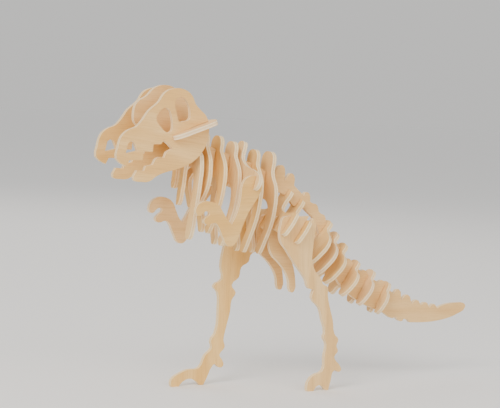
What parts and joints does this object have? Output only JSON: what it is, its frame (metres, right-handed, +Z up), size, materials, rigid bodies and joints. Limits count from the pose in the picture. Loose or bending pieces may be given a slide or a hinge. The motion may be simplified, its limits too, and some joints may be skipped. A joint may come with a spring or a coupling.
{
  "type": "wooden 3d jigsaw model",
  "caption": "Free-standing dinosaur skeleton puzzle of slotted flat plywood plates: skull, ribs, arms, hips, legs and tail.",
  "frame": {"origin": "bottom centre of the bounding box, on the surface it stands on", "axes": "+Z up, snout towards -X, the dinosaur's left side towards -Y"},
  "size_m": [0.2992, 0.0672, 0.199],
  "materials": {
    "plywood": "matt, bare"
  },
  "bodies": {
    "trunk": {"spine": "plywood", "hip_front": "plywood", "hip_rear": "plywood", "pelvis_left": "plywood", "pelvis_right": "plywood"},
    "neck_hoop": {"neck_hoop": "plywood"},
    "neck_rib": {"neck_rib": "plywood"},
    "rib_1": {"rib_1": "plywood"},
    "rib_2": {"rib_2": "plywood"},
    "rib_3": {"rib_3": "plywood"},
    "rib_4": {"rib_4": "plywood"},
    "rib_5": {"rib_5": "plywood"},
    "shoulder": {"shoulder": "plywood"},
    "arm_left": {"arm_left": "plywood"},
    "arm_right": {"arm_right": "plywood"},
    "brow": {"brow": "plywood"},
    "skull_left": {"skull_left": "plywood"},
    "skull_right": {"skull_right": "plywood"},
    "leg_left": {"leg_left": "plywood"},
    "leg_right": {"leg_right": "plywood"},
    "tail_1": {"tail_1": "plywood"},
    "tail_2": {"tail_2": "plywood"},
    "tail_3": {"tail_3": "plywood"},
    "tail_4": {"tail_4": "plywood"},
    "tail_5": {"tail_5": "plywood"},
    "tail_6": {"tail_6": "plywood"}
  },
  "joints": [
    {"name": "rib_1_lift", "type": "slide", "parent": "trunk", "child": "rib_1", "axis": [0.1219, 0, 0.9925], "range_m": [0, 0.075]},
    {"name": "rib_2_lift", "type": "slide", "parent": "trunk", "child": "rib_2", "axis": [0.1219, 0, 0.9925], "range_m": [0, 0.075]},
    {"name": "rib_3_lift", "type": "slide", "parent": "trunk", "child": "rib_3", "axis": [0.1219, 0, 0.9925], "range_m": [0, 0.075]},
    {"name": "rib_4_lift", "type": "slide", "parent": "trunk", "child": "rib_4", "axis": [0.1219, 0, 0.9925], "range_m": [0, 0.075]},
    {"name": "rib_5_lift", "type": "slide", "parent": "trunk", "child": "rib_5", "axis": [0.1219, 0, 0.9925], "range_m": [0, 0.075]},
    {"name": "shoulder_lift", "type": "slide", "parent": "trunk", "child": "shoulder", "axis": [0.2756, 0, 0.9613], "range_m": [0, 0.035]},
    {"name": "arm_left_drop", "type": "slide", "parent": "shoulder", "child": "arm_left", "axis": [-0.2756, 0, -0.9613], "range_m": [0, 0.02]},
    {"name": "arm_right_drop", "type": "slide", "parent": "shoulder", "child": "arm_right", "axis": [-0.2756, 0, -0.9613], "range_m": [0, 0.02]},
    {"name": "neck_hoop_drop", "type": "slide", "parent": "trunk", "child": "neck_hoop", "axis": [-0.1219, 0, -0.9925], "range_m": [0, 0.02]},
    {"name": "neck_rib_drop", "type": "slide", "parent": "trunk", "child": "neck_rib", "axis": [-0.1219, 0, -0.9925], "range_m": [0, 0.02]},
    {"name": "brow_pull", "type": "slide", "parent": "trunk", "child": "brow", "axis": [0.9336, 0, 0.3584], "range_m": [0, 0.01]},
    {"name": "skull_left_pull", "type": "slide", "parent": "trunk", "child": "skull_left", "axis": [-0.9336, 0, -0.3584], "range_m": [0, 0.06]},
    {"name": "skull_right_pull", "type": "slide", "parent": "trunk", "child": "skull_right", "axis": [-0.9336, 0, -0.3584], "range_m": [0, 0.06]},
    {"name": "leg_left_drop", "type": "slide", "parent": "trunk", "child": "leg_left", "axis": [-0.5736, 0, -0.8192], "range_m": [0, 0.02]},
    {"name": "leg_right_drop", "type": "slide", "parent": "trunk", "child": "leg_right", "axis": [-0.5736, 0, -0.8192], "range_m": [0, 0.02]},
    {"name": "tail_1_lift", "type": "slide", "parent": "trunk", "child": "tail_1", "axis": [0.6428, 0, 0.766], "range_m": [0, 0.04]},
    {"name": "tail_2_lift", "type": "slide", "parent": "trunk", "child": "tail_2", "axis": [0.6293, 0, 0.7771], "range_m": [0, 0.04]},
    {"name": "tail_3_lift", "type": "slide", "parent": "trunk", "child": "tail_3", "axis": [0.6157, 0, 0.788], "range_m": [0, 0.04]},
    {"name": "tail_4_lift", "type": "slide", "parent": "trunk", "child": "tail_4", "axis": [0.5878, 0, 0.809], "range_m": [0, 0.04]},
    {"name": "tail_5_lift", "type": "slide", "parent": "trunk", "child": "tail_5", "axis": [0.5299, 0, 0.848], "range_m": [0, 0.04]},
    {"name": "tail_6_lift", "type": "slide", "parent": "trunk", "child": "tail_6", "axis": [0.4695, 0, 0.8829], "range_m": [0, 0.04]}
  ]
}
